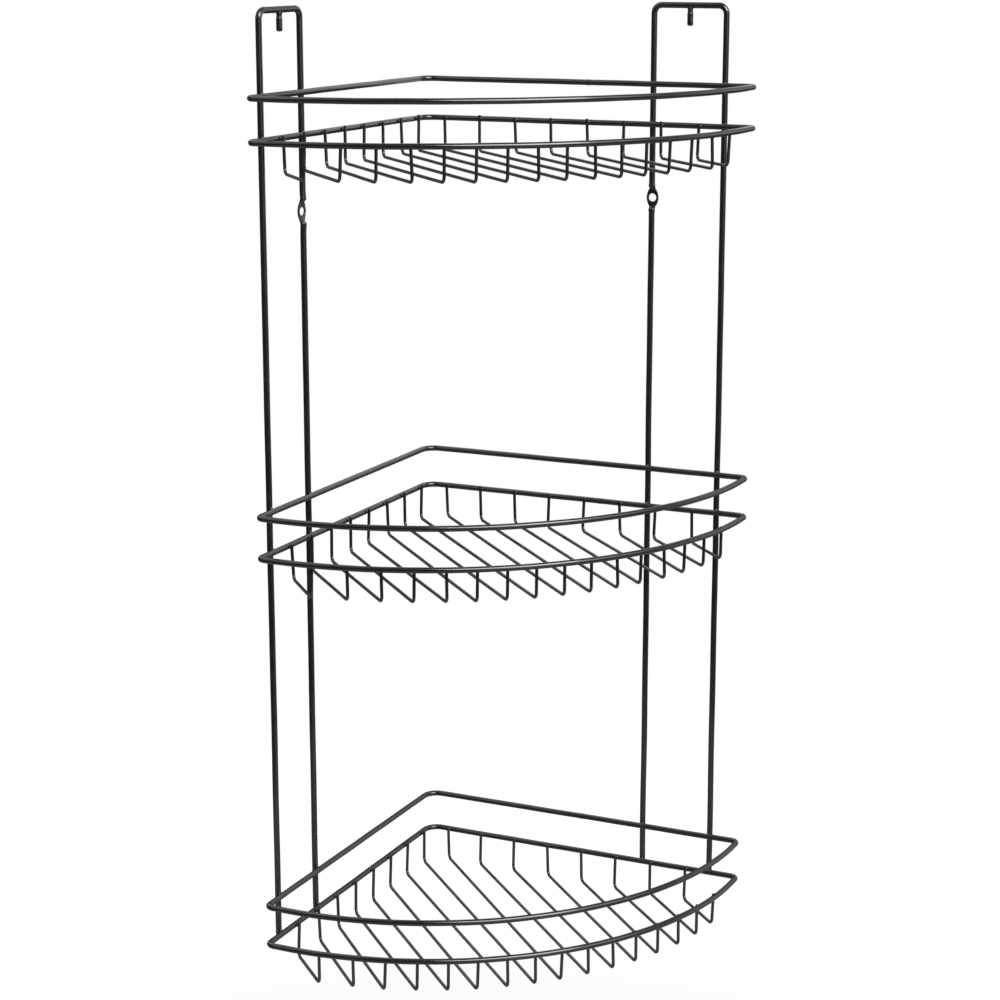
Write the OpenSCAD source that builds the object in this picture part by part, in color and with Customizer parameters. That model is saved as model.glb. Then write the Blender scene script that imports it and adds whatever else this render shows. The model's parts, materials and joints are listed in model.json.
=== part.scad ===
// Three-tier corner shower caddy of welded, coated steel wire.
//
// The two wall faces are the planes X = 0 and Y = 0, and the caddy hangs in the room's corner
// between them: the right wall runs along +X and the left wall along -Y, as seen from the room.
// Z = 0 is the underside of the lowest shelf's floor wires. Everything is in millimetres.
// The left half mirrors the right half about the vertical plane that bisects the corner.

/* [Shelves] */
// How far a shelf reaches from the wall corner along each wall
shelf_reach = 256; // [220:1:300]
// Length of the straight stretch between a ring's end bend and its curved front
end_straight = 8.8; // [2:0.2:30]
// Bend radius of a shelf ring at the wall corner
corner_bend = 10; // [5:0.5:30]
// Bend radius where a ring's straight side turns into its curved front
end_bend = 5; // [3.5:0.5:10]
// Height from a shelf's lower ring to its upper ring
ring_spacing = 27.4; // [12:0.2:60]
// Height from one shelf to the next
tier_spacing = 269; // [160:1:340]

/* [Wire] */
// Thickness of the hanging frames' wire, with its coating
frame_wire = 4.2; // [3.4:0.1:5]
// Thickness of the shelf rings' wire, with its coating
ring_wire = 4; // [3:0.1:5]
// Thickness of the floor wire, with its coating
floor_wire = 2.2; // [1.6:0.1:3]

/* [Shelf floors] */
// Floor wires that start from each wall side of a shelf
wires_per_side = 8; // [3:1:8]
// Depth of the floor below the lower ring, from wire centre to wire centre
floor_depth = 22.5; // [12:0.5:40]
// Distance from the outermost floor wire to the bend at the ring's end
wire_end_margin = 22.5; // [18:0.5:40]
// Bend radius of a floor wire
floor_bend = 4; // [2.5:0.5:7]
// How far a floor wire's back end stands above the lower ring
nub_height = 0.8; // [0.2:0.1:3]
// Height of a floor wire's front end above the lower ring's centre line
front_tip = 0.4; // [0.2:0.1:3]

/* [Hanging frames] */
// Distance between the two legs of a frame, from centre to centre
frame_width = 52; // [36:1:80]
// Distance from the outer end of the shelves to a frame's outer leg
frame_inset = 25; // [16:1:50]
// Height of a frame's top bar above the top shelf's upper ring
bar_height = 53; // [35:1:90]
// Bend radius of a frame's top corners
frame_bend = 5.5; // [4:0.5:12]

/* [Screw eyes] */
// Diameter of the screw hole
eye_hole = 5.5; // [4:0.1:6.4]
// Width of the wire where it is flattened round the hole
eye_width = 8.6; // [7.6:0.1:11]
// Height over which the flattened wire is wider than the round wire
eye_flare = 12.4; // [10:0.1:16]
// Thickness of the flattened wire
eye_thickness = 1.4; // [1:0.1:2]
// Length of the flattened stretch
eye_length = 16; // [13:0.5:24]
// Length of the slope from the flattened stretch up to the round wire
eye_slope = 1.5; // [0.5:0.1:3]
// Distance of the hole below the top shelf's lower ring
eye_drop = 50.5; // [36:0.5:120]

/* [Hanging pegs] */
// Thickness of the peg
peg_wire = 4.2; // [4:0.1:5]
// Thickness of the peg's neck, where it is welded under the bar
peg_neck = 3.7; // [2.5:0.1:3.9]
// Length of the neck below the bar
neck_length = 2.2; // [1:0.1:4]
// Length of the shoulder between the neck and the full thickness
shoulder_length = 1; // [0.4:0.1:2]
// Length of the peg, from the middle of the bar to its tip
peg_length = 13.8; // [9:0.1:20]
// Edge rounding of the peg's tip
tip_rounding = 1; // [0.3:0.1:1.4]

/* [Hidden] */
$fn = 48;
WIRE_COLOR = [0.07, 0.07, 0.075];

// Gap between wires that are welded together, so that each stays a solid of its own
weld_gap = 0.03;
// How far a cutting shape runs past the face it cuts
past = 1;

ring_r = ring_wire / 2;
frame_r = frame_wire / 2;
floor_r = floor_wire / 2;
peg_r = peg_wire / 2;

// Plan of a shelf ring. The straight side lies on the room side of the frame's legs.
ring_side = frame_wire + weld_gap + ring_r;
corner_in = ring_side + corner_bend;
end_in = ring_side + end_bend;
end_along = shelf_reach - ring_r - end_bend;
// The curved front is a quarter circle, whose centre is this far from both wall faces
front_centre = end_in + end_straight;
front_radius = shelf_reach - ring_r - front_centre;

// Floor wires run parallel to the bisector, at even offsets on both sides of it
wire_count = 2 * wires_per_side;
end_offset = (end_along - end_in) / sqrt(2);
wire_pitch = 2 * (end_offset - wire_end_margin) / (wire_count - 1);
wire_side = ring_side + ring_r + weld_gap + floor_r;
wire_front_radius = front_radius - ring_r - weld_gap - floor_r;
back_rise = floor_depth + ring_r + nub_height;
front_rise = floor_depth + front_tip;
function wire_offset(i) = (i - (wire_count + 1) / 2) * wire_pitch;
function wire_back(i) = to_micron(abs(wire_offset(i)) + wire_side * sqrt(2));
function wire_front(i) = to_micron(front_centre * sqrt(2)
    + sqrt(pow(wire_front_radius, 2) - pow(wire_offset(i), 2)));
// Rounded to a thousandth of a millimetre, so that a wire's stretches meet face to face
function to_micron(length) = round(length * 1000) / 1000;

// Heights. Tier 0 is the bottom shelf.
TIERS = ["bottom", "middle", "top"];
last_tier = len(TIERS) - 1;
function floor_z(tier) = floor_r + tier * tier_spacing;
function lower_ring_z(tier) = floor_z(tier) + floor_depth;
function upper_ring_z(tier) = lower_ring_z(tier) + ring_spacing;
foot_z = lower_ring_z(0) - ring_r;
bar_z = upper_ring_z(last_tier) + bar_height;
eye_z = lower_ring_z(last_tier) - eye_drop;

// Places along a wall, from the wall corner
outer_leg = shelf_reach - frame_inset;
inner_leg = outer_leg - frame_width;
frame_middle = (outer_leg + inner_leg) / 2;

// Names of the separate pieces
function two_digits(i) = str(i < 10 ? "0" : "", i);
function lower_ring_name(tier) = str(TIERS[tier], "_lower_ring");
function upper_ring_name(tier) = str(TIERS[tier], "_upper_ring");
function floor_wire_name(tier, i) = str(TIERS[tier], "_floor_wire_", two_digits(i));

// Mirrors the right half onto the left wall, about the corner's bisector
module on_left_wall() {
    mirror([1, 1, 0]) children();
}

// A straight wire along +Z
module rod(length, wire) {
    cylinder(h = length, d = wire);
}

// A bent wire in the XY plane about the origin, between two directions
module bend(radius, wire, from, to) {
    rotate([0, 0, from]) rotate_extrude(angle = to - from) translate([radius, 0]) circle(d = wire);
}

// Turns a shape drawn in the XY plane upright, so that its Y points up and its Z towards -Y
module upright() {
    rotate([90, 0, 0]) children();
}

// One shelf ring at height 0: two straight wall sides, three bends and the curved front
module ring() {
    translate([corner_in, -corner_in, 0]) bend(corner_bend, ring_wire, 90, 180);
    ring_half();
    on_left_wall() ring_half();
    translate([front_centre, -front_centre, 0]) bend(front_radius, ring_wire, -90, 0);
}

// The ring's side along the right wall, the bend at its end and the straight stretch after it
module ring_half() {
    translate([corner_in, -ring_side, 0]) rotate([0, 90, 0]) rod(end_along - corner_in, ring_wire);
    translate([end_along, -end_in, 0]) bend(end_bend, ring_wire, 0, 90);
    translate([end_along + end_bend, -end_in, 0]) upright() rod(end_straight, ring_wire);
}

module lower_ring(tier) {
    color(WIRE_COLOR) translate([0, 0, lower_ring_z(tier)]) ring();
}

module upper_ring(tier) {
    color(WIRE_COLOR) translate([0, 0, upper_ring_z(tier)]) ring();
}

// One floor wire: up the inside of the wall side, across the floor, and up the inside of the front
module floor_wire(tier, i) {
    back = wire_back(i);
    front = wire_front(i);
    color(WIRE_COLOR) rotate([0, 0, -45]) translate([0, wire_offset(i), floor_z(tier)]) {
        translate([back, 0, floor_bend]) rod(back_rise - floor_bend, floor_wire);
        translate([back + floor_bend, 0, floor_bend]) upright() bend(floor_bend, floor_wire, 180, 270);
        translate([back + floor_bend, 0, 0]) rotate([0, 90, 0])
            rod(front - back - 2 * floor_bend, floor_wire);
        translate([front - floor_bend, 0, floor_bend]) upright() bend(floor_bend, floor_wire, 270, 360);
        translate([front, 0, floor_bend]) rod(front_rise - floor_bend, floor_wire);
    }
}

// The hanging frame on the right wall: one wire bent into an upside-down U
module hanging_frame() {
    leg_length = bar_z - frame_bend - foot_z;
    translate([0, -frame_r, 0]) {
        translate([outer_leg, 0, foot_z]) rod(leg_length, frame_wire);
        translate([outer_leg - frame_bend, 0, bar_z - frame_bend]) upright()
            bend(frame_bend, frame_wire, 0, 90);
        translate([inner_leg + frame_bend, 0, bar_z]) rotate([0, 90, 0])
            rod(frame_width - 2 * frame_bend, frame_wire);
        translate([inner_leg + frame_bend, 0, bar_z - frame_bend]) upright()
            bend(frame_bend, frame_wire, 90, 180);
    }
    translate([inner_leg, 0, 0]) eyed_leg(leg_length);
}

// The inner leg, with its wire pressed flat against the wall and pierced for a screw
module eyed_leg(leg_length) {
    difference() {
        union() {
            difference() {
                translate([0, -frame_r, foot_z]) rod(leg_length, frame_wire);
                translate([0, 0, eye_z]) pressed_away();
            }
            translate([0, 0, eye_z]) upright() linear_extrude(eye_thickness) flare();
        }
        translate([0, past, eye_z]) upright() cylinder(h = eye_thickness + 2 * past, d = eye_hole);
    }
}

// What the press takes off the round wire: all in front of the flat, with a slope at each end
module pressed_away() {
    front = frame_wire + past;
    flat_half = eye_length / 2 - eye_slope;
    slope_ratio = eye_slope / (frame_wire - eye_thickness);
    front_half = flat_half + (front - eye_thickness) * slope_ratio;
    rotate([90, 0, -90]) linear_extrude(2 * frame_wire, center = true) polygon([
        [eye_thickness, -flat_half],
        [front, -front_half],
        [front, front_half],
        [eye_thickness, flat_half]
    ]);
}

// Outline of the flattened wire: a lens that narrows to the wire's own width at both ends
module flare() {
    half_height = eye_flare / 2;
    bulge = (eye_width - frame_wire) / 2;
    side_radius = (pow(half_height, 2) + pow(bulge, 2)) / (2 * bulge);
    intersection() {
        translate([side_radius - eye_width / 2, 0]) circle(side_radius, $fn = 180);
        translate([eye_width / 2 - side_radius, 0]) circle(side_radius, $fn = 180);
        square([eye_width, eye_flare], center = true);
    }
}

// The peg under the middle of the right frame's bar
module peg() {
    shank_length = peg_length - frame_r - neck_length - shoulder_length;
    difference() {
        translate([frame_middle, -frame_r, bar_z - peg_length]) {
            rotate_extrude() peg_tip();
            translate([0, 0, tip_rounding]) cylinder(h = shank_length - tip_rounding, r = peg_r);
            translate([0, 0, shank_length]) cylinder(h = shoulder_length, r1 = peg_r, d2 = peg_neck);
            translate([0, 0, shank_length + shoulder_length])
                cylinder(h = peg_length - shank_length - shoulder_length, d = peg_neck);
        }
        translate([inner_leg, -frame_r, bar_z]) rotate([0, 90, 0])
            rod(frame_width, frame_wire + 2 * weld_gap);
        translate([frame_middle - frame_wire, -frame_wire - past, bar_z])
            cube([2 * frame_wire, frame_wire + 2 * past, frame_wire]);
    }
}

// Half section of the peg's rounded tip
module peg_tip() {
    square([peg_r - tip_rounding, tip_rounding]);
    intersection() {
        translate([peg_r - tip_rounding, tip_rounding]) circle(tip_rounding);
        translate([peg_r - tip_rounding, 0]) square(tip_rounding);
    }
}

module right_frame() {
    color(WIRE_COLOR) hanging_frame();
}

module left_frame() {
    color(WIRE_COLOR) on_left_wall() hanging_frame();
}

module right_peg() {
    color(WIRE_COLOR) peg();
}

module left_peg() {
    color(WIRE_COLOR) on_left_wall() peg();
}

left_frame();
right_frame();
left_peg();
right_peg();
for (tier = [0:last_tier]) {
    lower_ring(tier);
    upper_ring(tier);
    for (i = [1:wire_count]) floor_wire(tier, i);
}
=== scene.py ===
import json
import math
import random
from collections import namedtuple

import bpy
import numpy as np
from mathutils import Euler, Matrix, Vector


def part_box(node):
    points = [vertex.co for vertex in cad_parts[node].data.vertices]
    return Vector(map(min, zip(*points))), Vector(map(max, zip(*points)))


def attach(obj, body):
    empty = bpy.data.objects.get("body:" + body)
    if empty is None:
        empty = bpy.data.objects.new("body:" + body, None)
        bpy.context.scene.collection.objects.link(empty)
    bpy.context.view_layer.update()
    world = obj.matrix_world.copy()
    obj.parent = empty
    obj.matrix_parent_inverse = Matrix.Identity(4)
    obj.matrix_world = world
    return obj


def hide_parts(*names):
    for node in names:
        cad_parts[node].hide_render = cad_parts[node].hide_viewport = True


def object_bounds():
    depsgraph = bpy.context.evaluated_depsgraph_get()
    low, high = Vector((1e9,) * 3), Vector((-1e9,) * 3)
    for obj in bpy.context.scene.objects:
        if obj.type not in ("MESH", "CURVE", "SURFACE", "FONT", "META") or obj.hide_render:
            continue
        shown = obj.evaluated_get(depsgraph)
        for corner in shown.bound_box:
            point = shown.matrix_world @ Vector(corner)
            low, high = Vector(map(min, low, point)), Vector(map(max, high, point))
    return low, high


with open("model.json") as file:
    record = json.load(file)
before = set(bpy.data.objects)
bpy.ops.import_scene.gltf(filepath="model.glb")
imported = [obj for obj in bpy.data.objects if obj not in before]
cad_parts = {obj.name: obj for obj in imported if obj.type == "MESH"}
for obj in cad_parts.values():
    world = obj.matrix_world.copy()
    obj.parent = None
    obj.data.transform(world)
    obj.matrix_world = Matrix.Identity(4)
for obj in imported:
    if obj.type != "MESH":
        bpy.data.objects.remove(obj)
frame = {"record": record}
cad_low, cad_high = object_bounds()

# Sizes are in millimetres as far as the studio, and meshes are written in metres.
MM = 0.001
TIERS = ("bottom", "middle", "top")
WIRES = 16

# Bends of the wires' centre lines, as on the solids
CORNER_BEND = 10.0
END_BEND = 5.0
END_STRAIGHT = 8.8
FLOOR_BEND = 4.0
FRAME_BEND = 5.5
FLOOR_WIRE_RADIUS = 1.1
# Height of a floor wire's front end above the middle of the lower ring, as on the solids
FRONT_TIP = 0.4
# Screw eye, as on the solids
EYE_WIDTH = 8.6
EYE_FLARE = 12.4
EYE_LENGTH = 16.0
EYE_THICKNESS = 1.4
EYE_HOLE = 5.5
# Peg, as on the solids
PEG_NECK = 3.7
NECK_LENGTH = 2.2
SHOULDER_LENGTH = 1.0
PEG_LENGTH = 13.8
# The real tip is rounder than the solid's
PEG_TIP = 1.5

# Handwork that the solids leave out: how far a floor wire's lower bends may lie to one side,
# how much lower its back end may stand, how far a frame's legs wander along the wall,
# and how many degrees the left eye is turned on its leg
LEAN = 1.0
BACK_DROP = 0.8
LEG_WANDER = 0.22
LEFT_EYE_TURN = 6
# Distance from a ring's butt weld on to where its centre line starts
SEAM_BEFORE_START = {"lower": 7.0, "upper": 17.0}
# Finely divided wire past each end of an eye
EYE_MARGIN = 4.0
# Rounding that the coating leaves at the screw hole and at cut ends
HOLE_EDGE = 0.45
FLOOR_WIRE_EDGE = 0.45
FOOT_EDGE = 0.9
# Size of the weld fillets
FLOOR_FILLET = 0.42
FRAME_FILLET = 0.6


def node_box(node):
    """Lowest and highest corners of a solid, in millimetres."""
    low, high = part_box(node)
    return np.array(low) / MM, np.array(high) / MM


# A shelf ring's wire radius, the height of its middle, and where its centre line runs: how far
# off the walls its straight sides are, and how far along the walls it reaches
Ring = namedtuple("Ring", "radius height side reach")


def ring_sizes(node):
    low, high = node_box(node)
    radius = (high[2] - low[2]) / 2
    return Ring(radius, (high[2] + low[2]) / 2, low[0] + radius, high[0] - radius)


# A hanging frame's wire, where its two legs stand along the wall, and the heights of its feet,
# of its bar's middle and of its screw hole
Hanger = namedtuple("Hanger", "wire inner outer foot bar eye")


def hanger_sizes():
    low, high = node_box("right_frame")
    wire = -low[1]
    mounts = {mount["name"]: mount for mount in frame["record"]["mounts"]}
    eye = mounts["right_screw_eye"]["pos_m"][2] / MM
    return Hanger(wire, low[0] + EYE_WIDTH / 2, high[0] - wire / 2, low[2], high[2] - wire / 2, eye)


def smoothstep(t):
    t = np.clip(t, 0, 1)
    return t * t * (3 - 2 * t)


def circle(sides):
    """Evenly spaced angles of a full turn."""
    return np.linspace(0, 2 * math.pi, sides, endpoint=False)


# ---------------------------------------------------------------- meshes


def new_mesh(name, verts, faces):
    """An object from points in millimetres. Its origin is the row's."""
    mesh = bpy.data.meshes.new(name)
    mesh.from_pydata((np.asarray(verts, float) * MM).tolist(), [], faces)
    mesh.update()
    shade_smooth(mesh)
    mesh.validate()
    thing = bpy.data.objects.new(name, mesh)
    bpy.context.scene.collection.objects.link(thing)
    return thing


def shade_smooth(mesh):
    mesh.polygons.foreach_set("use_smooth", [True] * len(mesh.polygons))


def joined(name, parts):
    """One object from several lots of points and faces, kept inside the row's box."""
    verts, faces, shift = [], [], 0
    for points, polygons in parts:
        verts.append(points)
        faces += [tuple(i + shift for i in polygon) for polygon in polygons]
        shift += len(points)
    verts = np.clip(np.concatenate(verts), np.array(cad_low) / MM, np.array(cad_high) / MM)
    return new_mesh(name, verts, faces)


def skin(rings, closed):
    """Faces that join a list of rings of points, with a fan over each end of an open run."""
    count, sides = len(rings), len(rings[0])
    verts = np.concatenate(rings)
    faces = []
    for i in range(count if closed else count - 1):
        a, b = i * sides, ((i + 1) % count) * sides
        for j in range(sides):
            k = (j + 1) % sides
            faces.append((a + j, a + k, b + k, b + j))
    if not closed:
        last = (count - 1) * sides
        verts = np.concatenate([verts, [rings[0].mean(0)], [rings[-1].mean(0)]])
        first_tip, last_tip = len(verts) - 2, len(verts) - 1
        for j in range(sides):
            k = (j + 1) % sides
            faces.append((k, j, first_tip))
            faces.append((last + j, last + k, last_tip))
    return verts, faces


def to_left(points):
    """A place on the right wall's side, mirrored to the left wall's side."""
    points = np.asarray(points, float)
    return np.stack([-points[..., 1], -points[..., 0], points[..., 2]], -1)


def flipped(faces):
    return [tuple(reversed(face)) for face in faces]


# ---------------------------------------------------------------- paths and tubes


class Path:
    """A wire's centre line in a plane: points, directions and the distance along it."""

    def __init__(self, origin, across, up):
        """origin is where the plane's own (0, 0) lies; across and up are its two directions."""
        self.origin = np.array(origin, float)
        self.across = np.array(across, float)
        self.up = np.array(up, float)
        self.places, self.headings = [], []

    def line(self, start, end, step=3.0):
        start, end = np.array(start, float), np.array(end, float)
        length = np.linalg.norm(end - start)
        count = max(2, int(round(length / step)) + 1)
        for t in np.linspace(0, 1, count)[1 if self.places else 0:]:
            self.places.append(start + (end - start) * t)
            self.headings.append((end - start) / length)
        return self

    def arc(self, centre, radius, start, end, step=3.0):
        """An arc between two angles in degrees. It runs clockwise where end is less than start."""
        a, b = math.radians(start), math.radians(end)
        count = max(7, int(round(abs(b - a) * radius / step)) + 1)
        turn = 1.0 if b > a else -1.0
        for t in np.linspace(a, b, count)[1 if self.places else 0:]:
            self.places.append(np.array(centre) + radius * np.array([math.cos(t), math.sin(t)]))
            self.headings.append(turn * np.array([-math.sin(t), math.cos(t)]))
        return self

    def arrays(self):
        """Points, directions, the sideways direction in the plane, and the plane's normal."""
        places, headings = np.array(self.places), np.array(self.headings)
        points = self.origin + places[:, :1] * self.across + places[:, 1:] * self.up
        along = headings[:, :1] * self.across + headings[:, 1:] * self.up
        normal = np.cross(self.across, self.up)
        side = np.cross(normal, along)
        return points, along, side, normal

    def distances(self):
        steps = np.linalg.norm(np.diff(np.array(self.places), axis=0), axis=1)
        return np.concatenate([[0.0], np.cumsum(steps)])


def ripple(name, distance, waves, total=None):
    """A smooth uneven run of values from about -1 to 1, the same each time for the same name.
    waves are its wavelengths. Where total is given, it closes on itself over that length."""
    pick = random.Random(name)
    value = np.zeros_like(distance)
    weight = 0.0
    for wave in waves:
        length = wave * pick.uniform(0.85, 1.15)
        if total:
            length = total / max(1, round(total / length))
        share = pick.uniform(0.6, 1.0)
        value += share * np.sin(2 * math.pi * (distance / length + pick.random()))
        weight += share
    return value / weight


def uneven(name, distance, sides, amount, total=None):
    """The size of a coated wire at each place along and round it, as a share of its full size.
    It is a little thinner here and there: all round, on one side or as an oval."""
    turn = circle(sides)
    thin = 1.0
    for key, waves, share, shape in ((" a", (47, 21, 11), 0.45, np.ones(sides)),
                                     (" b", (63, 27, 14), 0.3, np.cos(turn)),
                                     (" c", (71, 33, 12), 0.3, np.sin(turn)),
                                     (" d", (39, 17), 0.35, np.cos(2 * turn))):
        thin = thin + share * (ripple(name + key, distance, waves, total)[:, None] * shape)
    return 1.0 - 0.6 * amount * thin


def tube(name, path, radius, sides, closed=False, wander=0.08, coat=0.012, round_over=0.0,
         bulge=None):
    """A coated wire along a path. It wanders a little off its line, its coating is uneven, and its
    cut ends are rounded over. bulge(distance) adds to the radius, as at a butt weld."""
    points, along, side, normal = path.arrays()
    distance = path.distances()
    total = None
    if closed:
        total = distance[-1]
        points, along, side, distance = points[:-1], along[:-1], side[:-1], distance[:-1]
    if wander:
        sideways = ripple(name + " x", distance, (230, 130, 60), total)[:, None]
        off_plane = ripple(name + " y", distance, (270, 110, 50), total)[:, None]
        points = points + wander * sideways * side
        points = points + wander * off_plane * normal
    turn = circle(sides)
    size = radius * uneven(name, distance, sides, coat, total)
    if bulge is not None:
        size = size + bulge(distance)[:, None]
    rings = []
    for i in range(len(points)):
        around = np.cos(turn)[:, None] * side[i] + np.sin(turn)[:, None] * normal
        rings.append(points[i] + around * size[i][:, None])
    if not closed:
        start = rounded_end(rings[0], points[0], -along[0], round_over)[::-1]
        end = rounded_end(rings[-1], points[-1], along[-1], round_over)
        rings = start + rings[1:-1] + end
    return skin(rings, closed)


def rounded_end(ring, centre, outward, amount):
    """The rings that round over a wire's cut end, within its length, from the wire outwards."""
    if not amount:
        return [ring]
    radius = np.linalg.norm(ring - centre, axis=1).mean()
    shaped = []
    for t in (0, 15, 32, 50, 68, 90):
        a = math.radians(t)
        inset = amount * (1 - math.cos(a))
        drop = amount * (1 - math.sin(a))
        scale = (radius - inset) / radius
        shaped.append(centre + (ring - centre) * scale - outward * drop)
    # one more ring halfway in, so that the shading of the flat end stays even
    shaped.append(centre + (ring - centre) * (radius - amount) * 0.55 / radius)
    return shaped


def ring_path(ring):
    """A shelf ring's centre line, closed, starting on the right wall's side."""
    path = Path((0, 0, ring.height), (1, 0, 0), (0, 1, 0))
    side, reach = ring.side, ring.reach
    start = 150.0
    inner = side + CORNER_BEND
    bend = side + END_BEND
    outer = reach - END_BEND
    centre = front_centre(ring)
    path.line((start, -side), (outer, -side))
    path.arc((outer, -bend), END_BEND, 90, 0, 0.9)
    path.line((reach, -bend), (reach, -centre))
    path.arc((centre, -centre), reach - centre, 0, -90)
    path.line((centre, -reach), (bend, -reach))
    path.arc((bend, -outer), END_BEND, -90, -180, 0.9)
    path.line((side, -outer), (side, -inner))
    path.arc((inner, -inner), CORNER_BEND, 180, 90, 1.2)
    path.line((inner, -side), (start, -side))
    return path


def front_centre(ring):
    """How far off each wall the centre of a ring's curved front is."""
    return ring.side + END_BEND + END_STRAIGHT


# ---------------------------------------------------------------- welds


def butt_weld(at):
    """The slight bulge where a ring's two ends are welded together, at a distance along it, with
    a shallow groove on either side."""
    half_width, height = 1.6, 0.16
    groove_off, groove_width, groove_depth = 1.6, 0.7, 0.07

    def bulge(distance):
        off = (distance - at) / half_width
        lump = height * np.exp(-off ** 2)
        for middle in (groove_off, -groove_off):
            lump = lump - groove_depth * np.exp(-((off - middle) / groove_width) ** 2)
        return lump

    return bulge


def weld(name, contact, towards, along_a, along_b, radius_a, radius_b, fillet):
    """The fillet where two crossed wires touch: a saddle of weld and coating round the contact.
    towards points from wire a to wire b at the contact; along_a and along_b are their directions."""
    pick = random.Random(name)
    n = np.array(towards, float)
    u, v = np.array(along_a, float), np.array(along_b, float)
    steps = 28
    sunk = 0.08
    phase = [pick.uniform(0, 2 * math.pi) for _ in range(3)]
    columns = []
    for a in circle(steps):
        lump = 1 + 0.16 * math.sin(a + phase[0]) + 0.1 * math.sin(2 * a + phase[1]) \
            + 0.07 * math.sin(3 * a + phase[2])
        f = fillet * lump
        # each wire's own outline in this direction, as a circle that touches the contact
        ra = radius_a / max(math.sin(a) ** 2, 0.02)
        rb = radius_b / max(math.cos(a) ** 2, 0.02)
        y = f * (ra - rb) / (ra + rb)
        x = math.sqrt((ra + f) ** 2 - (y + ra) ** 2)
        to_a = np.array([-x, -ra - y]) / (ra + f)
        to_b = np.array([-x, rb - y]) / (rb + f)
        angle_a = math.atan2(to_a[1], to_a[0]) % (2 * math.pi)
        angle_b = math.atan2(to_b[1], to_b[0]) % (2 * math.pi)
        out = math.cos(a) * u + math.sin(a) * v
        column = []
        for t in np.linspace(0, 1, 7):
            angle = angle_a + (angle_b - angle_a) * t
            reach = x + f * math.cos(angle)
            height = y + f * math.sin(angle)
            column.append(np.array(contact) + out * reach + n * height)
        # both edges go a little way into the wires
        column.insert(0, column[0] - n * sunk * radius_a + out * 0.02)
        column.append(column[-1] + n * sunk * radius_b + out * 0.02)
        columns.append(column)
    columns = np.array(columns)
    rows = columns.shape[1]
    faces = []
    for i in range(steps):
        k = (i + 1) % steps
        for j in range(rows - 1):
            faces.append((i * rows + j, k * rows + j, k * rows + j + 1, i * rows + j + 1))
    # a fan closes it inside each wire
    verts = np.concatenate([columns.reshape(-1, 3), [np.array(contact) - n * radius_a * 0.6],
                            [np.array(contact) + n * radius_b * 0.6]])
    low, high = len(verts) - 2, len(verts) - 1
    for i in range(steps):
        k = (i + 1) % steps
        faces.append((k * rows, i * rows, low))
        faces.append((i * rows + rows - 1, k * rows + rows - 1, high))
    # the faces look outwards whichever way round the three directions are
    return verts, faces if np.dot(np.cross(u, v), n) > 0 else flipped(faces)


# ---------------------------------------------------------------- shape of each piece


def frame_mesh(name, hanger):
    """A hanging frame on the right wall: an upside-down U of wire, with its flattened eye."""
    wire, inner, outer, foot, bar, eye = hanger
    r = wire / 2
    reach = EYE_LENGTH / 2 + EYE_MARGIN
    path = Path((0, -r, 0), (1, 0, 0), (0, 0, 1))
    path.line((outer, foot), (outer, bar - FRAME_BEND))
    path.arc((outer - FRAME_BEND, bar - FRAME_BEND), FRAME_BEND, 0, 90, 0.9)
    path.line((outer - FRAME_BEND, bar), (inner + FRAME_BEND, bar))
    path.arc((inner + FRAME_BEND, bar - FRAME_BEND), FRAME_BEND, 90, 180, 0.9)
    path.line((inner, bar - FRAME_BEND), (inner, eye + reach))
    path.line((inner, eye + reach), (inner, eye - reach), 0.35)
    path.line((inner, eye - reach), (inner, foot))
    verts, faces = tube(name, path, r, 40, wander=0.0, coat=0.01, round_over=FOOT_EDGE)
    verts = flatten_eye(verts, hanger)
    # the legs wander off their line, but neither off the wall nor near the eye or the bar
    z = verts[:, 2]
    still_by_eye, still_by_bar, ease = 14, 12, 60
    calm = smoothstep((np.abs(z - eye) - still_by_eye) / ease) * \
        smoothstep((bar - still_by_bar - z) / ease)
    shift = LEG_WANDER * calm * ripple(name + " leg", z, (310, 170, 90))
    verts[:, 0] += shift * np.where(verts[:, 0] > (inner + outer) / 2, 1.0, -1.0)
    return verts, faces


def flatten_eye(verts, hanger):
    """Presses the inner leg's round wire flat against the wall round the screw hole."""
    verts = verts.copy()
    wire, r = hanger.wire, hanger.wire / 2
    x, y, z = verts[:, 0] - hanger.inner, verts[:, 1], verts[:, 2] - hanger.eye
    near = (np.abs(x) < wire) & (np.abs(z) < EYE_LENGTH / 2 + EYE_MARGIN)
    x, y, z = x[near], y[near], np.abs(z[near])
    # how flat the section is at each height: 0 is the round wire, 1 the flat
    step = 1.9
    flat = smoothstep((EYE_LENGTH / 2 - z) / step)
    # seen from the front the flat is bounded by two arcs
    half_flare, bulge = EYE_FLARE / 2, (EYE_WIDTH - wire) / 2
    lens = (half_flare ** 2 + bulge ** 2) / (2 * bulge)
    spread = np.sqrt(np.maximum(lens ** 2 - np.minimum(z, half_flare) ** 2, 0)) - lens + EYE_WIDTH / 2
    half_wide = r + (np.maximum(spread, r) - r) * flat
    # the metal pressed aside where the step starts
    pressed, pressed_off, pressed_length = 0.3, 0.4, 0.9
    half_wide = half_wide + pressed * \
        np.exp(-((z - EYE_LENGTH / 2 - pressed_off) / pressed_length) ** 2)
    # the flat is a little thicker towards its ends
    thickness = EYE_THICKNESS + 0.5 * smoothstep((z - 3) / 4)
    half_deep = r + (thickness / 2 - r) * flat
    # section as a superellipse that squares up as it flattens
    angle = np.arctan2(y + r, x)
    c, s = np.cos(angle), np.sin(angle)
    squareness = 3.2
    power = 2 / (2 + squareness * flat)
    verts[near, 0] = hanger.inner + half_wide * np.sign(c) * np.abs(c) ** power
    verts[near, 1] = -half_deep + half_deep * np.sign(s) * np.abs(s) ** power
    return verts


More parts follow.
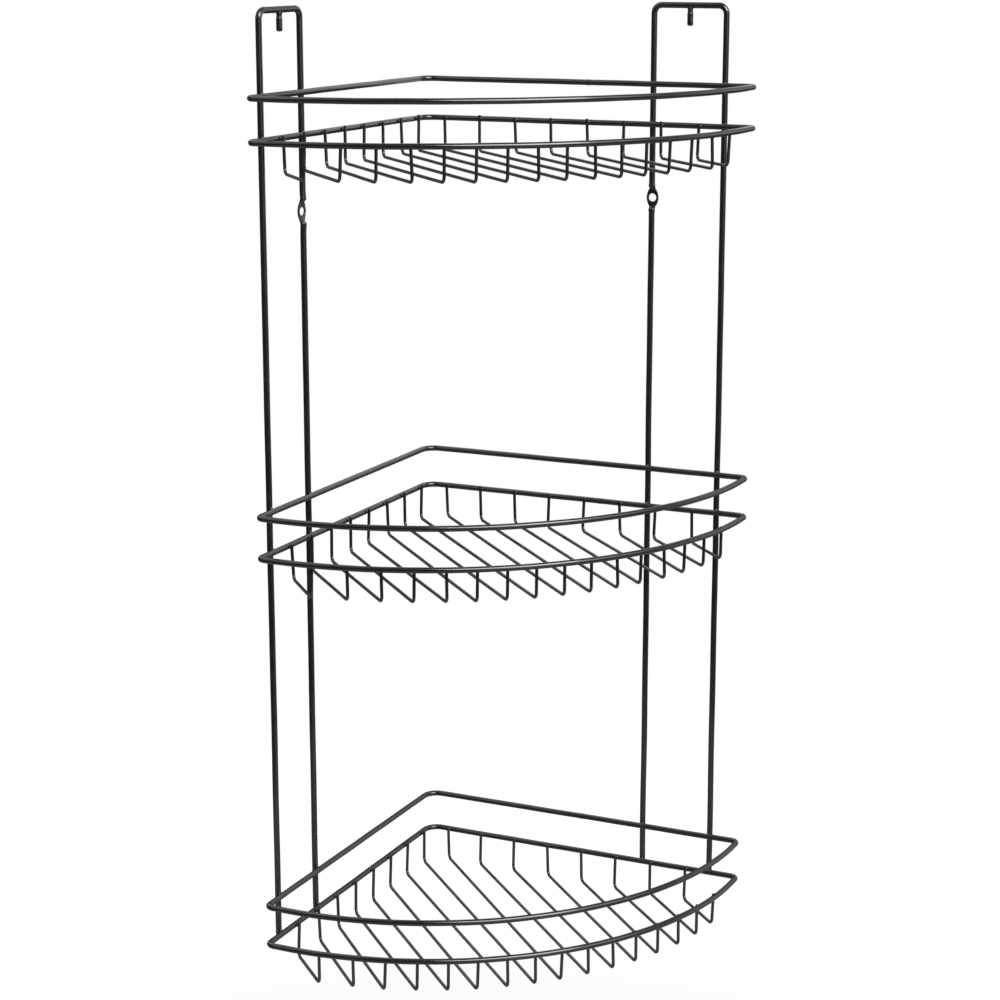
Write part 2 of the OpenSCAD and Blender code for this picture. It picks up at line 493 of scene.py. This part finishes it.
def twisted(points, hanger, degrees):
    """Turns the flattened wire a few degrees about its leg, and off the wall as far as it needs."""
    points = points.copy()
    x, y = points[:, 0] - hanger.inner, points[:, 1] + EYE_THICKNESS / 2
    turned_for, ease = 14, 7
    near = smoothstep((turned_for - np.abs(points[:, 2] - hanger.eye)) / ease) * (np.abs(x) < EYE_WIDTH)
    angle = near * math.radians(degrees)
    points[:, 0] = hanger.inner + x * np.cos(angle) - y * np.sin(angle)
    points[:, 1] = x * np.sin(angle) + y * np.cos(angle) - EYE_THICKNESS / 2 \
        - EYE_WIDTH / 2 * np.abs(np.sin(angle))
    return points


def drill(thing, x, z):
    """Cuts the screw hole, with the rounded edge that the coating leaves. The mesh stays closed."""
    hole, past = EYE_HOLE / 2, 0.5
    front = []
    for t in np.linspace(0, 90, 6):
        a = math.radians(t)
        front.append((hole + HOLE_EDGE * (1 - math.sin(a)), -HOLE_EDGE * (1 - math.cos(a))))
    back = [(radius, -EYE_THICKNESS - y) for radius, y in reversed(front)]
    profile = [(hole + HOLE_EDGE, past)] + front + back + [(hole + HOLE_EDGE, -EYE_THICKNESS - past)]
    turn = circle(48)
    rings = []
    for radius, y in profile:
        around = (x + radius * np.cos(turn), np.full(len(turn), y), z + radius * np.sin(turn))
        rings.append(np.stack(around, -1))
    cutter = new_mesh("cutter", *skin(rings, False))
    modifier = thing.modifiers.new("hole", "BOOLEAN")
    modifier.operation, modifier.solver, modifier.object = "DIFFERENCE", "EXACT", cutter
    apply_modifiers(thing)
    bpy.data.objects.remove(cutter)


def apply_modifiers(thing):
    bpy.context.view_layer.update()
    evaluated = thing.evaluated_get(bpy.context.evaluated_depsgraph_get())
    mesh = bpy.data.meshes.new_from_object(evaluated)
    thing.modifiers.clear()
    old = thing.data
    thing.data = mesh
    bpy.data.meshes.remove(old)
    shade_smooth(mesh)


def peg_mesh(hanger):
    """The stud under a frame's bar: a rounded tip, a shank, a thinner neck, and the weld that
    flares into the bar."""
    r, bar = hanger.wire / 2, hanger.bar
    neck = PEG_NECK / 2
    tip = bar - PEG_LENGTH
    neck_top = bar - r
    neck_low = neck_top - NECK_LENGTH
    shank_top = neck_low - SHOULDER_LENGTH
    profile = [(0.12 * r, tip), (0.2 * r, tip + 0.01)]
    for t in (10, 25, 40, 55, 70, 90):
        a = math.radians(t)
        profile.append((r - PEG_TIP + PEG_TIP * math.sin(a), tip + PEG_TIP - PEG_TIP * math.cos(a)))
    shank_low = tip + PEG_TIP
    for t in np.linspace(0.1, 0.9, 6):
        waist = 1 - 0.02 * math.sin(math.pi * t)
        profile.append((r * waist, shank_low + (shank_top - shank_low) * t))
    profile += [(r * 0.995, shank_top - 0.25), (r * 0.96, shank_top), (r * 0.9, shank_top + 0.3),
                (neck * 1.07, neck_low - 0.3), (neck, neck_low), (neck, neck_low + 0.5)]
    flare, flare_low = 1.1, neck_top - 0.9
    for t in (0, 20, 40, 60, 80):
        a = math.radians(t)
        profile.append((neck + flare * (1 - math.cos(a)), flare_low + flare * math.sin(a)))
    profile.append((neck * 0.9, neck_top + 0.9))
    middle = (hanger.inner + hanger.outer) / 2
    turn = circle(36)
    rings = []
    for radius, z in profile:
        out = radius * (1 + 0.012 * np.sin(2 * turn + z))
        around = (middle + out * np.cos(turn), -r + out * np.sin(turn), np.full(len(turn), z))
        rings.append(np.stack(around, -1))
    return skin(rings, False)


def floor_wire_mesh(name, ring_z):
    """A thin floor wire: up inside the wall side, along the floor and up inside the front. Each was
    bent and welded by hand, so it leans a little and its back end stands a little lower or higher.
    The places of its back and front ends come with it."""
    low, high = node_box(name)
    r = FLOOR_WIRE_RADIUS
    back = np.array([low[0] + r, high[1] - r])
    front = np.array([high[0] - r, low[1] + r])
    span = front - back
    length = np.linalg.norm(span)
    across = np.array([span[0] / length, span[1] / length, 0.0])
    floor = low[2] + r
    pick = random.Random(name + " bend")
    back_top = high[2] - floor - pick.uniform(0.0, BACK_DROP)
    front_top = ring_z + FRONT_TIP - floor
    path = Path((back[0], back[1], floor), across, (0, 0, 1))
    path.line((0, back_top), (0, FLOOR_BEND), 2.5)
    path.arc((FLOOR_BEND, FLOOR_BEND), FLOOR_BEND, 180, 270, 0.8)
    path.line((FLOOR_BEND, 0), (length - FLOOR_BEND, 0), 3.5)
    path.arc((length - FLOOR_BEND, FLOOR_BEND), FLOOR_BEND, 270, 360, 0.8)
    path.line((length, FLOOR_BEND), (length, front_top), 2.5)
    verts, faces = tube(name, path, r, 18, wander=0.05, coat=0.02, round_over=FLOOR_WIRE_EDGE)
    # the lower bends lie to one side or the other, and the ends stay where they are at the ring
    side = np.array([-across[1], across[0], 0.0])
    along = ((verts[:, :2] - back) @ across[:2]) / length
    lean = pick.uniform(-LEAN, LEAN) * (1 - along) + pick.uniform(-LEAN, LEAN) * along
    drop = (ring_z - verts[:, 2]) / (ring_z - floor)
    return verts + (lean * drop)[:, None] * side, faces, back, front


def back_weld(node, back, ring, on_right):
    """The weld between a floor wire's back end and the ring's straight side along a wall."""
    towards = np.array([0.0, -1.0, 0.0]) if on_right else np.array([1.0, 0.0, 0.0])
    along = np.array([1.0, 0.0, 0.0]) if on_right else np.array([0.0, 1.0, 0.0])
    contact = np.array([back[0], back[1], ring.height]) - towards * FLOOR_WIRE_RADIUS
    return weld(f"{node} back", contact, towards, along, (0, 0, 1), ring.radius, FLOOR_WIRE_RADIUS,
                FLOOR_FILLET)


def front_weld(node, front, ring):
    """The weld between a floor wire's front end and the ring's curved front."""
    centre = front_centre(ring)
    out = np.array([front[0] - centre, front[1] + centre, 0.0])
    out /= np.linalg.norm(out)
    contact = np.array([front[0], front[1], ring.height]) + out * FLOOR_WIRE_RADIUS
    verts, faces = weld(f"{node} front", contact, -out, np.cross((0, 0, 1), out), (0, 0, 1),
                        ring.radius, FLOOR_WIRE_RADIUS, FLOOR_FILLET)
    # it barely covers the wire's end
    verts[:, 2] = np.minimum(verts[:, 2], ring.height + FRONT_TIP + 0.1)
    return verts, faces


def frame_weld(name, hanger, leg, ring):
    """The weld between a frame's leg and a ring's straight side, on the right wall."""
    contact = np.array([leg, -hanger.wire, ring.height])
    return weld(name, contact, (0, -1, 0), (0, 0, 1), (1, 0, 0), hanger.wire / 2, ring.radius,
                FRAME_FILLET)


# ---------------------------------------------------------------- coating


def coating(name):
    """Satin black powder coat on steel wire: near black, with patches that are duller and greyer
    than the rest, a fine pebbled skin, and a slight swell in its thickness."""
    material = bpy.data.materials.new(name)
    material.use_nodes = True
    nodes, links = material.node_tree.nodes, material.node_tree.links
    shader = next(n for n in nodes if n.type == "BSDF_PRINCIPLED")
    place = nodes.new("ShaderNodeTexCoord").outputs["Object"]

    def noise(scale, detail, roughness=0.5):
        node = nodes.new("ShaderNodeTexNoise")
        node.inputs["Scale"].default_value = scale
        node.inputs["Detail"].default_value = detail
        node.inputs["Roughness"].default_value = roughness
        links.new(place, node.inputs["Vector"])
        return node.outputs["Fac"]

    def bump(height, strength, distance):
        node = nodes.new("ShaderNodeBump")
        node.inputs["Strength"].default_value = strength
        node.inputs["Distance"].default_value = distance
        links.new(height, node.inputs["Height"])
        return node

    patches = noise(90, 3)
    colour = nodes.new("ShaderNodeValToRGB")
    black, grey = colour.color_ramp.elements
    black.position, black.color = 0.35, (0.007, 0.007, 0.0075, 1)
    grey.position, grey.color = 0.7, (0.014, 0.014, 0.015, 1)
    links.new(patches, colour.inputs["Fac"])
    links.new(colour.outputs["Color"], shader.inputs["Base Color"])
    shader.inputs["Specular IOR Level"].default_value = 1.0
    rough = nodes.new("ShaderNodeMapRange")
    set_range(rough, 0.3, 0.7, 0.12, 0.17)
    links.new(patches, rough.inputs["Value"])
    links.new(rough.outputs["Result"], shader.inputs["Roughness"])
    swell = bump(noise(260, 2), 0.2, 0.0002)
    pebbles = bump(noise(1500, 2, 0.6), 0.05, 0.00008)
    links.new(swell.outputs["Normal"], pebbles.inputs["Normal"])
    links.new(pebbles.outputs["Normal"], shader.inputs["Normal"])
    return material


def set_range(node, from_low, from_high, low, high):
    """The four limits of a Map Range node."""
    for key, value in (("From Min", from_low), ("From Max", from_high), ("To Min", low), ("To Max", high)):
        node.inputs[key].default_value = value


coat = coating("satin_black_coating")


def finish_piece(piece, *nodes):
    piece.data.materials.clear()
    piece.data.materials.append(coat)
    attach(piece, "root")
    if nodes:
        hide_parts(*nodes)


# ---------------------------------------------------------------- pieces


def make_ring(tier, level):
    node = f"{tier}_{level}_ring"
    ring = ring_sizes(node)
    path = ring_path(ring)
    seam = path.distances()[-1] - SEAM_BEFORE_START[level]
    wire = tube(node, path, ring.radius, 32, closed=True, wander=0.1, bulge=butt_weld(seam))
    finish_piece(joined(node + "_wire", [wire]), node)


def make_floor(tier):
    """A shelf's floor wires, one object each, and all their welds to the ring in one object."""
    ring = ring_sizes(f"{tier}_lower_ring")
    welds = []
    for i in range(1, WIRES + 1):
        node = f"{tier}_floor_wire_{i:02d}"
        verts, faces, back, front = floor_wire_mesh(node, ring.height)
        finish_piece(joined(node + "_wire", [(verts, faces)]), node)
        welds.append(back_weld(node, back, ring, on_right=i > WIRES // 2))
        welds.append(front_weld(node, front, ring))
    finish_piece(joined(f"{tier}_floor_welds", welds))


def make_frames(hanger):
    """The two hanging frames. The left one is made on the right wall, turned at its eye and then
    mirrored."""
    right = joined("right_frame_wire", [frame_mesh("right_frame", hanger)])
    drill(right, hanger.inner, hanger.eye)
    finish_piece(right, "right_frame")
    left = joined("left_frame_wire", [frame_mesh("left_frame", hanger)])
    drill(left, hanger.inner, hanger.eye)
    places = np.empty(len(left.data.vertices) * 3)
    left.data.vertices.foreach_get("co", places)
    turned = twisted(places.reshape(-1, 3) / MM, hanger, LEFT_EYE_TURN)
    left.data.vertices.foreach_set("co", (to_left(turned) * MM).ravel())
    left.data.flip_normals()
    left.data.update()
    finish_piece(left, "left_frame")


def make_pegs(hanger):
    verts, faces = peg_mesh(hanger)
    finish_piece(joined("right_peg_stud", [(verts, faces)]), "right_peg")
    finish_piece(joined("left_peg_stud", [(to_left(verts), flipped(faces))]), "left_peg")


def make_frame_welds(tier, hanger):
    """The eight welds between a shelf's two rings and the frames' four legs, in one object."""
    welds = []
    for level in ("lower", "upper"):
        ring = ring_sizes(f"{tier}_{level}_ring")
        for leg in (hanger.inner, hanger.outer):
            for wall in ("right", "left"):
                verts, faces = frame_weld(f"{tier} {level} {leg:.0f} {wall}", hanger, leg, ring)
                if wall == "left":
                    verts, faces = to_left(verts), flipped(faces)
                welds.append((verts, faces))
    finish_piece(joined(f"{tier}_frame_welds", welds))


hanger = hanger_sizes()
for tier in TIERS:
    make_ring(tier, "lower")
    make_ring(tier, "upper")
for tier in TIERS:
    make_floor(tier)
make_frames(hanger)
make_pegs(hanger)
for tier in TIERS:
    make_frame_welds(tier, hanger)


# ---------------------------------------------------------------- studio, in metres


CENTRE = (Vector(cad_low) + Vector(cad_high)) / 2
FLOOR_BELOW = 0.30
FLOOR_REACH = 1.3
WHITE = (1, 1, 1, 1)


def heading(azimuth, elevation):
    """Direction from the object towards an azimuth, which turns from -Y to +X, and an elevation."""
    a, e = math.radians(azimuth), math.radians(elevation)
    return Vector((math.sin(a) * math.cos(e), -math.cos(a) * math.cos(e), math.sin(e)))


def eased(nodes, links, value, start, end, low, high):
    """A value eased from low to high as another goes from start to end."""
    node = nodes.new("ShaderNodeMapRange")
    node.interpolation_type = "SMOOTHSTEP"
    set_range(node, start, end, low, high)
    links.new(value, node.inputs["Value"])
    return node.outputs["Result"]


def pale_floor():
    """A pale floor. To the camera it is white, but for the object's soft shadow near its middle."""
    material = bpy.data.materials.new("pale_floor")
    material.use_nodes = True
    nodes, links = material.node_tree.nodes, material.node_tree.links
    nodes.clear()
    diffuse = nodes.new("ShaderNodeBsdfDiffuse")
    diffuse.inputs["Color"].default_value = (0.5, 0.5, 0.5, 1)
    glow = nodes.new("ShaderNodeEmission")
    glow.inputs["Color"].default_value = WHITE
    glow.inputs["Strength"].default_value = 1.08
    away = nodes.new("ShaderNodeVectorMath")
    away.operation = "LENGTH"
    links.new(nodes.new("ShaderNodeTexCoord").outputs["Object"], away.inputs[0])
    glowing = nodes.new("ShaderNodeMath")
    glowing.operation = "MULTIPLY"
    links.new(nodes.new("ShaderNodeLightPath").outputs["Is Camera Ray"], glowing.inputs[0])
    links.new(eased(nodes, links, away.outputs["Value"], 0.35, 1.1, 0.82, 1.0), glowing.inputs[1])
    mix = nodes.new("ShaderNodeMixShader")
    links.new(glowing.outputs[0], mix.inputs["Fac"])
    links.new(diffuse.outputs[0], mix.inputs[1])
    links.new(glow.outputs[0], mix.inputs[2])
    output = nodes.new("ShaderNodeOutputMaterial")
    links.new(mix.outputs[0], output.inputs["Surface"])
    return material


def make_floor_stage():
    """A round floor some way below the object, which hangs on walls that aren't shown."""
    turn = circle(96)
    rim = [(FLOOR_REACH * math.cos(t), FLOOR_REACH * math.sin(t), 0) for t in turn]
    mesh = bpy.data.meshes.new("floor")
    mesh.from_pydata(rim, [], [tuple(range(len(rim)))])
    floor = bpy.data.objects.new("floor", mesh)
    floor.location = (CENTRE.x, CENTRE.y, -FLOOR_BELOW)
    bpy.context.scene.collection.objects.link(floor)
    floor.data.materials.append(pale_floor())


def soft_light(name, place, towards, width, height, level, round_box=False):
    """A soft box at a place that shines one way. level is its own brightness, where 1 is white."""
    data = bpy.data.lights.new(name, "AREA")
    data.shape = "ELLIPSE" if round_box else "RECTANGLE"
    data.size, data.size_y = width, height
    area = width * height * (math.pi / 4 if round_box else 1)
    data.energy = level * math.pi * area
    light = bpy.data.objects.new(name, data)
    light.location = place
    light.rotation_mode = "QUATERNION"
    light.rotation_quaternion = towards.to_track_quat("-Z", "Y")
    light.visible_camera = False
    bpy.context.scene.collection.objects.link(light)


def make_lights():
    key, fill = heading(56, 45), heading(-45, 43)
    soft_light("key", CENTRE + key * 1.9, -key, 1.45, 0.92, 7.6)
    soft_light("fill", CENTRE + fill * 1.35, -fill, 0.66, 1.2, 0.7)
    # an upright round card behind the top shelf, which the rails on the left wall mirror
    soft_light("card", (0.002, 0.298, 0.642), Vector((0, -1, 0)), 0.49, 0.49, 0.58, round_box=True)


# What the coating mirrors: a dim room with soft pale patches. Each has its azimuth and elevation,
# how many degrees off it has faded out and is at its full, and its brightness.
ROOM = 0.07
PATCHES = (
    (165, 21, 40, 15, 0.43),
    (130, 5, 30, 10, 0.6),
    (0, 90, 68, 38, 0.13),
    (88, -18, 50, 22, 0.08),
    (-125, 46, 26, 19, 1.1),
    (-115, 10, 45, 20, 0.12),
    (84, 38, 32, 12, 1.8),
    (57, 14, 26, 8, 1.2),
)


def make_world():
    """White to the camera, an even dim light on the object, and the room where it is mirrored."""
    world = bpy.data.worlds.new("studio")
    bpy.context.scene.world = world
    world.use_nodes = True
    nodes, links = world.node_tree.nodes, world.node_tree.links
    nodes.clear()
    direction = nodes.new("ShaderNodeTexCoord").outputs["Generated"]
    rays = nodes.new("ShaderNodeLightPath")

    def background(strength):
        node = nodes.new("ShaderNodeBackground")
        node.inputs["Color"].default_value = WHITE
        node.inputs["Strength"].default_value = strength
        return node

    def patch(azimuth, elevation, faded, full, brightness):
        dot = nodes.new("ShaderNodeVectorMath")
        dot.operation = "DOT_PRODUCT"
        dot.inputs[1].default_value = heading(azimuth, elevation)
        links.new(direction, dot.inputs[0])
        return eased(nodes, links, dot.outputs["Value"], math.cos(math.radians(faded)),
                     math.cos(math.radians(full)), 0.0, brightness)

    def switched(ray, otherwise, shader):
        """One shader for one kind of ray, and another otherwise."""
        mix = nodes.new("ShaderNodeMixShader")
        links.new(rays.outputs[ray], mix.inputs["Fac"])
        links.new(otherwise.outputs[0], mix.inputs[1])
        links.new(shader.outputs[0], mix.inputs[2])
        return mix

    room = nodes.new("ShaderNodeMath")
    room.inputs[0].default_value = ROOM
    links.new(patch(*PATCHES[0]), room.inputs[1])
    for values in PATCHES[1:]:
        lighter = nodes.new("ShaderNodeMath")
        links.new(room.outputs[0], lighter.inputs[0])
        links.new(patch(*values), lighter.inputs[1])
        room = lighter
    mirrored = background(1.0)
    links.new(room.outputs[0], mirrored.inputs["Strength"])
    lit = switched("Is Glossy Ray", background(0.3), mirrored)
    seen = switched("Is Camera Ray", lit, background(1.0))
    output = nodes.new("ShaderNodeOutputWorld")
    links.new(seen.outputs[0], output.inputs["Surface"])


def make_camera():
    data = bpy.data.cameras.new("camera")
    data.sensor_width = 36
    data.lens = 86.6
    camera = bpy.data.objects.new("camera", data)
    camera.location = (0.7853, -1.5623, 0.6868)
    pitched_down, turned = 13.17, 24.84
    camera.rotation_euler = Euler((math.radians(90 - pitched_down), 0, math.radians(turned)))
    bpy.context.scene.collection.objects.link(camera)
    bpy.context.scene.camera = camera


make_floor_stage()
make_lights()
make_world()
make_camera()
bpy.context.scene.view_settings.view_transform = "Standard"
